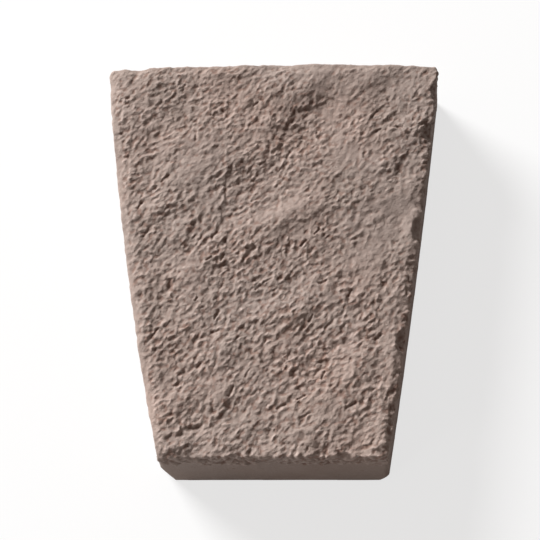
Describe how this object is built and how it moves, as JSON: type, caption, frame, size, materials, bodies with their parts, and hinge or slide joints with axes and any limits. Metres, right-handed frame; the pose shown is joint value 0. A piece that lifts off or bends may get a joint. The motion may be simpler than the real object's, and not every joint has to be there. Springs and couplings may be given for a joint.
{
  "type": "keystone",
  "caption": "Wedge-shaped cast stone keystone with a rough, rock-faced front, smooth drafted sides and a flat back.",
  "frame": {"origin": "middle of the flat back, which is on z = 0 and rests on the floor", "axes": "+Z out of the rock face, +Y from the narrow end to the wide end, which is up on a wall, +X to the right of someone who faces the rock face"},
  "size_m": [0.2028, 0.2506, 0.054],
  "materials": {
    "cast_stone": "matte"
  },
  "bodies": {
    "root": {"keystone": "cast_stone"}
  },
  "joints": []
}
